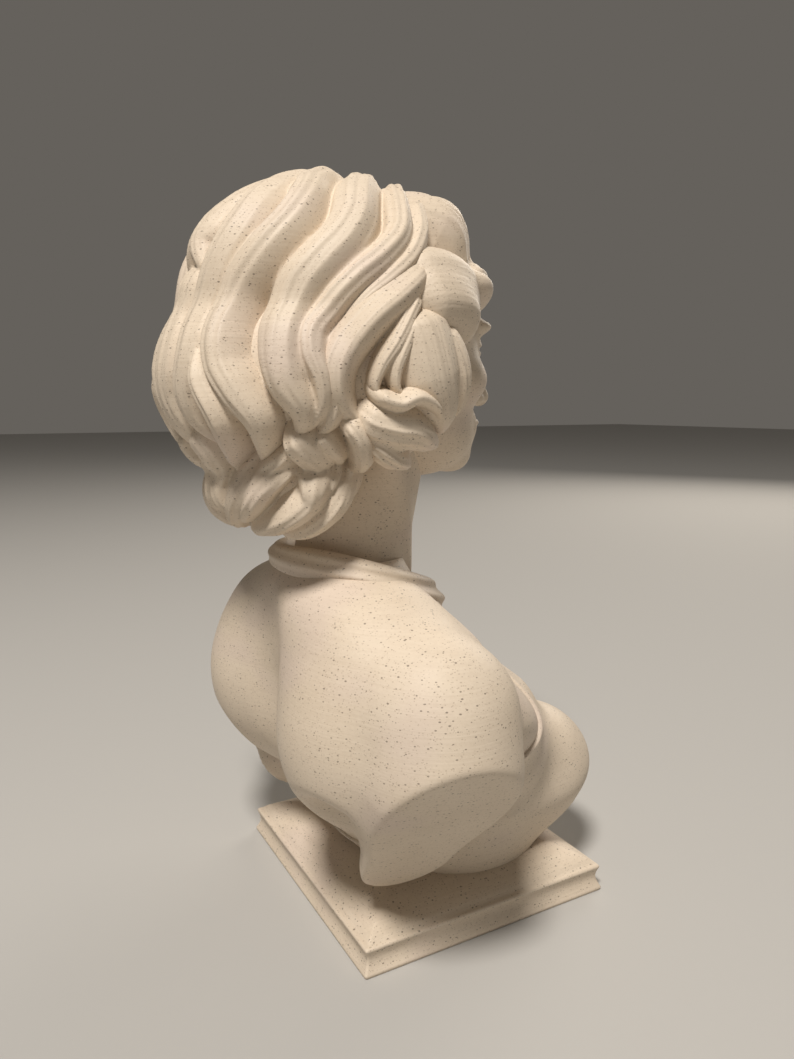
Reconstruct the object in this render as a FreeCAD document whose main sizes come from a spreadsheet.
"""Marble-effect portrait bust on a square moulded plinth, as separate keyed pieces.

Millimetres, +Z up, the figure faces -Y and its right hand is towards -X.
The origin is the middle of the plinth's underside.

Every driving dimension is a cell of the sheet "Dimensions", and every primitive is bound to
those cells. Organic masses are ellipsoids, the torso is a loft through horizontal ellipses, and
the plinth is stacked blocks with a hollow run along each side. Where two pieces meet, the later
one is cut by the earlier one, so that they touch face to face.
"""
import FreeCAD, Part

import os

OUT_FOLDER = "parts"
FAR = 200.0  # side of a block that cuts everything on one side of a plane
SIDES = ((1, "right"), (-1, "left"))

# ---------------------------------------------------------------- driving dimensions

DIMENSIONS = {
    # plinth: foot lip, hollow moulding, top lip and a top that rises to the figure
    "plinth_width": 62.0,
    "plinth_depth": 59.0,
    "foot_lip_height": 1.4,
    "hollow_height": 3.2,
    "hollow_sink": 1.1,
    "top_lip_height": 0.9,
    "top_lip_inset": 0.5,
    "hip_inset": 13.0,
    "hip_rise": 3.6,
    # keys that join plinth, torso, neck and head
    "key_gap": 0.1,
    "torso_key_side": 16.0,
    "torso_key_drop": 5.0,
    "torso_key_y": -6.0,
    "neck_key_side": 11.0,
    "neck_key_length": 6.0,
    # planes that cut the upper arms, given for the figure's right
    "arm_cut_x": 42.0,
    "arm_cut_y": 18.0,
    "arm_cut_z": 34.5,
    "arm_cut_tilt": 38.0,
    "arm_cut_turn": 8.0,
    # neck
    "neck_low_y": 18.0,
    "neck_low_radius": 14.5,
    "neck_high_z": 99.0,
    "neck_high_y": 12.5,
    "neck_high_radius": 11.5,
    # halter collar: a roll of cloth round the root of the neck
    "collar_radius": 16.0,
    "collar_roll": 4.6,
    "collar_y": 15.5,
    "collar_z": 72.5,
    "collar_tilt": 15.0,
    # the face stays open: no hair in front of this plane below this height
    "face_opening_y": 1.0,
    "face_opening_top": 133.0,
}

# Horizontal ellipses of the torso, from the foot up: height, half width, front, back.
TORSO_SECTIONS = {
    "foot": (8.0, 24.0, -27.0, 16.0),
    "waist": (16.0, 28.0, -30.0, 23.0),
    "bust": (27.0, 33.0, -29.0, 29.0),
    "armpit": (38.0, 37.0, -23.0, 33.0),
    "deltoid": (48.0, 45.0, -14.0, 34.5),
    "shoulder": (57.0, 45.0, -7.0, 36.0),
    "slope": (65.0, 37.0, -2.0, 36.0),
    "yoke": (71.0, 25.0, 1.5, 34.0),
}

# Ellipsoids: centre x, y, z, then half width, half depth and half height.
# Those of a pair are given for the figure's right.
ELLIPSOIDS = {
    "shoulder_blade": (-22.0, 20.5, 45.8, 21.5, 20.5, 22.0),
    "upper_arm": (-38.0, 16.5, 42.0, 14.0, 16.5, 26.0),
    "bust_cup": (-12.5, -19.0, 25.5, 14.5, 17.5, 15.0),
    "bodice_band": (0.0, -10.0, 21.0, 25.0, 21.5, 12.0),
    "strap": (-9.5, -13.0, 46.0, 7.0, 5.0, 27.0),
    "skull": (0.0, 11.5, 123.0, 19.5, 23.0, 24.0),
    "face": (0.0, 3.5, 111.0, 15.5, 15.5, 17.5),
    "chin": (0.0, -6.0, 97.5, 7.0, 6.5, 5.5),
    "nose": (0.0, -12.0, 110.5, 3.2, 5.0, 6.5),
    "upper_lip": (0.0, -10.0, 103.6, 5.0, 3.0, 1.6),
    "lower_lip": (0.0, -9.8, 101.0, 4.2, 3.0, 1.8),
    "eye": (-7.4, -6.4, 118.5, 4.4, 4.2, 2.9),
    "brow": (-7.6, -5.2, 123.6, 6.6, 6.0, 2.0),
    "fringe_roll": (0.0, -1.5, 132.0, 18.5, 9.0, 7.5),
    "cheek_lock": (-17.5, 2.5, 112.5, 4.5, 7.0, 15.5),
    "jaw_curl": (-19.0, 8.0, 98.0, 7.0, 9.0, 6.5),
    "crown": (0.0, 20.0, 126.0, 27.0, 30.0, 25.5),
    "side": (-18.5, 17.0, 113.0, 14.0, 18.5, 20.0),
    "back": (0.0, 31.0, 112.0, 28.5, 24.5, 22.0),
    "nape": (0.0, 31.2, 92.6, 22.5, 17.3, 12.6),
}
MIRRORED_X = {
    "shoulder_blade", "upper_arm", "bust_cup", "strap", "eye", "brow", "cheek_lock", "jaw_curl", "side"
}

# How far the top of an ellipsoid leans back, in degrees.
LEANS = {
    "strap": 36.0,
    "crown": 6.0,
    "back": 3.0,
    "nape": -9.0,
    "fringe_roll": 10.0,
    "cheek_lock": -5.0,
}


def fill_sheet(doc):
    """Writes every driving dimension into one sheet, each cell with its own alias."""
    cells = dict(DIMENSIONS)
    for name, (height, half_width, front, back) in TORSO_SECTIONS.items():
        cells[name + "_level"] = height
        cells[name + "_half_width"] = half_width
        cells[name + "_front"] = front
        cells[name + "_rear"] = back
    for name, values in ELLIPSOIDS.items():
        for key, value in zip(("x", "y", "z", "wide", "deep", "high"), values):
            cells[name + "_" + key] = value
    for name, angle in LEANS.items():
        cells[name + "_lean"] = angle
    sheet = doc.addObject("Spreadsheet::Sheet", "Dimensions")
    for row, (alias, value) in enumerate(cells.items(), start=1):
        sheet.set("A%d" % row, alias)
        sheet.set("B%d" % row, str(value))
        sheet.setAlias("B%d" % row, alias)
    doc.recompute()
    return sheet


def with_cells(expression):
    """Turns {alias} into a reference to that cell of the sheet."""
    return expression.replace("{", "Dimensions.").replace("}", "")


def bind(obj, expressions):
    """Binds each property path of obj to an expression on {aliases}."""
    for path, expression in expressions.items():
        obj.setExpression(path, with_cells(expression))
    return obj


def at(x, y, z):
    """Placement paths for bind()."""
    return {"Placement.Base.x": x, "Placement.Base.y": y, "Placement.Base.z": z}


# ---------------------------------------------------------------- building blocks


def ellipsoid(doc, cells_of, name, side=1):
    """An ellipsoid bound to its six cells; side -1 mirrors its place to the figure's left.

    Its top leans back by its cell, if it has one. Its seam is turned to the outer side.
    """
    solid = doc.addObject("Part::Ellipsoid", name)
    angle = doc.getObject("Dimensions").get(cells_of + "_lean") if cells_of in LEANS else 0.0
    lean = FreeCAD.Rotation(FreeCAD.Vector(1, 0, 0), -angle)
    seam = FreeCAD.Rotation(FreeCAD.Vector(0, 0, 1), 180.0 if side > 0 else 0.0)
    solid.Placement = FreeCAD.Placement(FreeCAD.Vector(), lean.multiply(seam))
    radii = {"Radius1": "high", "Radius2": "wide", "Radius3": "deep"}
    sizes = {path: "{%s_%s}" % (cells_of, key) for path, key in radii.items()}
    place = at("%d * {%s_x}" % (side, cells_of), "{%s_y}" % cells_of, "{%s_z}" % cells_of)
    return bind(solid, {**sizes, **place})


def block(doc, name, width, depth, height, middle_y, low_z):
    """A box centred on x = 0 and on middle_y, standing on low_z; all are expressions."""
    solid = doc.addObject("Part::Box", name)
    sizes = {"Length": width, "Width": depth, "Height": height}
    place = at("-0.5 * (%s)" % width, "%s - 0.5 * (%s)" % (middle_y, depth), low_z)
    return bind(solid, {**sizes, **place})


def fuse(doc, name, base, *others):
    """base joined with each of the others in turn."""
    return combine(doc, name, "Part::Fuse", base, others)


def cut(doc, name, base, *tools):
    """base less each tool in turn."""
    return combine(doc, name, "Part::Cut", base, tools)


def combine(doc, name, operation, base, tools):
    """A chain of two-solid operations, of which the last carries the name."""
    for number, tool in enumerate(tools, start=1):
        last = number == len(tools)
        step = doc.addObject(operation, name if last else "%s_step%d" % (name, number))
        step.Base = base
        step.Tool = tool
        base = step
    return base


# ---------------------------------------------------------------- plinth


def hollow_run(doc, name, across, along_y, side):
    """A long rod that hollows one side of the plinth: its radius follows from height and sink."""
    rod = doc.addObject("Part::Cylinder", name)
    radius = "({hollow_height} * {hollow_height} / 4 + {hollow_sink} * {hollow_sink})"
    radius += " / (2 * {hollow_sink})"
    out = "%d * (%s / 2 + (%s) - {hollow_sink})" % (side, across, radius)
    level = "{foot_lip_height} + {hollow_height} / 2"
    turn = FreeCAD.Rotation(FreeCAD.Vector(1, 0, 0), -90)
    if not along_y:
        turn = FreeCAD.Rotation(FreeCAD.Vector(0, 1, 0), 90)
    rod.Placement = FreeCAD.Placement(FreeCAD.Vector(), turn)
    place = at(out, "-{plinth_depth}", level) if along_y else at("-{plinth_width}", out, level)
    length = "2 * {plinth_depth}" if along_y else "2 * {plinth_width}"
    return bind(rod, {"Radius": radius, "Height": length, **place})


def make_plinth(doc):
    """Foot lip, hollowed side and top lip, a low hipped top, and the torso's mortise."""
    edge_height = "{foot_lip_height} + {hollow_height}"
    lower = block(doc, "plinth_lower", "{plinth_width}", "{plinth_depth}", edge_height, "0", "0")
    lip_width = "{plinth_width} - 2 * {top_lip_inset}"
    lip_depth = "{plinth_depth} - 2 * {top_lip_inset}"
    lip = block(doc, "plinth_lip", lip_width, lip_depth, "{top_lip_height}", "0", edge_height)
    hip = doc.addObject("Part::Wedge", "plinth_hip")
    hip_low = edge_height + " + {top_lip_height}"
    bind(
        hip,
        {
            "Xmin": "-0.5 * (%s)" % lip_width,
            "Xmax": "0.5 * (%s)" % lip_width,
            "Zmin": "-0.5 * (%s)" % lip_depth,
            "Zmax": "0.5 * (%s)" % lip_depth,
            "Ymin": "0",
            "Ymax": "{hip_rise}",
            "X2min": "{hip_inset} - 0.5 * (%s)" % lip_width,
            "X2max": "0.5 * (%s) - {hip_inset}" % lip_width,
            "Z2min": "{hip_inset} - 0.5 * (%s)" % lip_depth,
            "Z2max": "0.5 * (%s) - {hip_inset}" % lip_depth,
        },
    )
    hip.Placement.Rotation = FreeCAD.Rotation(FreeCAD.Vector(1, 0, 0), 90)
    bind(hip, {"Placement.Base.z": hip_low})
    hollows = [
        hollow_run(doc, "hollow_right", "{plinth_width}", True, -1),
        hollow_run(doc, "hollow_left", "{plinth_width}", True, 1),
        hollow_run(doc, "hollow_front", "{plinth_depth}", False, -1),
        hollow_run(doc, "hollow_rear", "{plinth_depth}", False, 1),
    ]
    mortise_side = "{torso_key_side} + 2 * {key_gap}"
    mortise_low = "{foot_level} - {torso_key_drop} - {key_gap}"
    mortise = block(doc, "torso_mortise", mortise_side, mortise_side, "20", "{torso_key_y}", mortise_low)
    stacked = fuse(doc, "plinth_stack", lower, lip, hip)
    return cut(doc, "plinth", stacked, *hollows, mortise)


# ---------------------------------------------------------------- torso and dress


def torso_section(doc, name):
    """One horizontal ellipse of the torso, bound to its level, half width, front and rear."""
    ring = doc.addObject("Part::Ellipse", name + "_section")
    middle = "({%s_front} + {%s_rear}) / 2" % (name, name)
    half_depth = "({%s_rear} - {%s_front}) / 2" % (name, name)
    sizes = {"MajorRadius": "{%s_half_width}" % name, "MinorRadius": half_depth}
    return bind(ring, {**sizes, **at("0", middle, "{%s_level}" % name)})


def arm_cut(doc, name, side):
    """A block whose face is the plane that cuts one upper arm, facing out, down and a little back."""
    side = -side
    tool = doc.addObject("Part::Box", name)
    tool.Length = tool.Width = tool.Height = FAR
    sheet = doc.getObject("Dimensions")
    down = FreeCAD.Rotation(FreeCAD.Vector(0, 1, 0), side * sheet.arm_cut_tilt)
    back = FreeCAD.Rotation(FreeCAD.Vector(0, 0, 1), side * sheet.arm_cut_turn)
    turn = back.multiply(down)
    corner = FreeCAD.Vector(-FAR if side < 0 else 0, -FAR / 2, -FAR / 2)
    through = FreeCAD.Vector(side * sheet.arm_cut_x, sheet.arm_cut_y, sheet.arm_cut_z)
    tool.Placement = FreeCAD.Placement(through + turn.multVec(corner), turn)
    return tool


def make_torso(doc, plinth, neck_mortise):
    """Trunk, shoulder blades and upper arms, both arms cut off by planes, with key and mortise."""
    trunk = doc.addObject("Part::Loft", "torso_trunk")
    trunk.Sections = [torso_section(doc, name) for name in TORSO_SECTIONS]
    trunk.Solid = True
    masses = [trunk]
    for side, hand in SIDES:
        masses.append(ellipsoid(doc, "shoulder_blade", "shoulder_blade_" + hand, side))
        arm = ellipsoid(doc, "upper_arm", "upper_arm_" + hand, side)
        masses.append(cut(doc, "arm_stump_" + hand, arm, arm_cut(doc, "arm_cut_" + hand, side)))
    body = fuse(doc, "torso_body", *masses)
    key = block(
        doc,
        "torso_key",
        "{torso_key_side}",
        "{torso_key_side}",
        "{torso_key_drop} + 4",
        "{torso_key_y}",
        "{foot_level} - {torso_key_drop}",
    )
    trimmed = cut(doc, "torso_trimmed", body, plinth)
    return cut(doc, "torso", fuse(doc, "torso_keyed", trimmed, key), neck_mortise)


def neck_key(doc, name, low_z, high_z, middle_y, grow):
    """The square key at one end of the neck; grow is what its mortise has more on each side."""
    side = "{neck_key_side} + 2 * %s" % grow
    return block(doc, name, side, side, "%s - (%s)" % (high_z, low_z), middle_y, low_z)


def make_neck(doc, keys):
    """A tapering column between two circles, leaning a little forward, keyed at both ends."""
    rings = []
    for end, level in (("low", "{yoke_level}"), ("high", "{neck_high_z}")):
        ring = doc.addObject("Part::Circle", "neck_%s_ring" % end)
        place = at("0", "{neck_%s_y}" % end, level)
        rings.append(bind(ring, {"Radius": "{neck_%s_radius}" % end, **place}))
    column = doc.addObject("Part::Loft", "neck_column")
    column.Sections = rings
    column.Solid = True
    return fuse(doc, "neck", column, *keys)


def make_collar(doc, torso, neck):
    """A roll of cloth round the root of the neck, higher at the nape than at the throat."""
    roll = doc.addObject("Part::Torus", "collar_roll_ring")
    sheet = doc.getObject("Dimensions")
    turn = FreeCAD.Rotation(FreeCAD.Vector(1, 0, 0), sheet.collar_tilt)
    roll.Placement = FreeCAD.Placement(FreeCAD.Vector(), turn)
    bind(roll, {"Radius1": "{collar_radius}", "Radius2": "{collar_roll}"})
    bind(roll, at("0", "{collar_y}", "{collar_z}"))
    return cut(doc, "halter_collar", roll, torso, neck)


def make_bodice(doc, torso, collar, neck, plinth):
    """The halter dress's front: a band, two cups and two leaning straps, laid on the torso."""
    masses = [ellipsoid(doc, "bodice_band", "band")]
    for side, hand in SIDES:
        masses.append(ellipsoid(doc, "bust_cup", "cup_" + hand, side))
        masses.append(ellipsoid(doc, "strap", "strap_" + hand, side))
    return cut(doc, "bodice", fuse(doc, "bodice_masses", *masses), torso, collar, neck, plinth)


# ---------------------------------------------------------------- head and hair


def make_head(doc, neck, head_mortise):
    """Skull, face and calm, even features, seated on the neck's upper key."""
    middle = ("skull", "face", "chin", "nose", "upper_lip", "lower_lip")
    masses = [ellipsoid(doc, name, name + "_mass") for name in middle]
    for side, hand in SIDES:
        masses += [ellipsoid(doc, name, "%s_%s" % (name, hand), side) for name in ("eye", "brow")]
    return cut(doc, "head", fuse(doc, "head_masses", *masses), neck, head_mortise)


def make_hair(doc, head):
    """Hair masses from the front back; each is cut by the head and by all masses before it."""
    opening = doc.addObject("Part::Box", "face_opening")
    bind(opening, {"Length": "200", "Width": "100", "Height": "100"})
    bind(opening, at("-100", "{face_opening_y} - 100", "{face_opening_top} - 100"))
    inner = [doc.getObject(name) for name in ("neck_column", "skull_mass", "face_mass")]
    plan = [("fringe_roll", "fringe_roll", 1)]
    for cells_of in ("cheek_lock", "jaw_curl"):
        plan += [(cells_of, "%s_%s" % (hand, cells_of), side) for side, hand in SIDES]
    plan.append(("crown", "hair_crown", 1))
    plan += [("side", hand + "_side_waves", side) for side, hand in SIDES]
    plan += [("back", "back_waves", 1), ("nape", "nape_curls", 1)]
    masses = []
    pieces = []
    for cells_of, label, side in plan:
        mass = ellipsoid(doc, cells_of, label + "_mass", side)
        frames_face = cells_of in ("fringe_roll", "cheek_lock", "jaw_curl")
        tools = [head] if frames_face else [opening, *inner]
        pieces.append(cut(doc, label, mass, *reversed(masses), *tools))
        masses.append(mass)
    return pieces


# ---------------------------------------------------------------- assembly and export


def check_and_export(doc, pieces):
    """Stops on any failed object or bad shape, then writes one STEP file for each piece."""
    failed = [o.Name for o in doc.Objects if {"Invalid", "Error"} & set(o.State)]
    if failed:
        raise RuntimeError("failed objects: %s" % failed)
    os.makedirs(OUT_FOLDER, exist_ok=True)
    for piece in pieces:
        shape = piece.Shape
        if shape.isNull() or not shape.isValid() or not shape.Solids:
            raise RuntimeError("%s has no valid solid" % piece.Label)
        shape.exportStep(os.path.join(OUT_FOLDER, piece.Label + ".step"))
        low, high = shape.BoundBox.getPoint(0), shape.BoundBox.getPoint(6)
        print("%-18s solids %d volume %9.1f" % (piece.Label, len(shape.Solids), shape.Volume), low, high)


def main():
    doc = FreeCAD.newDocument("bust")
    fill_sheet(doc)
    plinth = make_plinth(doc)
    low_end = ("{yoke_level} - {neck_key_length}", "{yoke_level} + 2")
    high_end = ("{neck_high_z} - 2", "{neck_high_z} + {neck_key_length}")
    keys = [
        neck_key(doc, "neck_low_key", *low_end, "{neck_low_y}", "0"),
        neck_key(doc, "neck_high_key", *high_end, "{neck_high_y}", "0"),
    ]
    low_mortise = neck_key(
        doc, "neck_low_mortise", low_end[0] + " - {key_gap}", low_end[1], "{neck_low_y}", "{key_gap}"
    )
    high_mortise = neck_key(
        doc, "neck_high_mortise", high_end[0], high_end[1] + " + {key_gap}", "{neck_high_y}", "{key_gap}"
    )
    torso = make_torso(doc, plinth, low_mortise)
    neck = make_neck(doc, keys)
    collar = make_collar(doc, torso, neck)
    bodice = make_bodice(doc, torso, collar, neck, plinth)
    head = make_head(doc, neck, high_mortise)
    hair = make_hair(doc, head)
    doc.recompute()
    check_and_export(doc, [plinth, torso, neck, collar, bodice, head, *hair])


main()
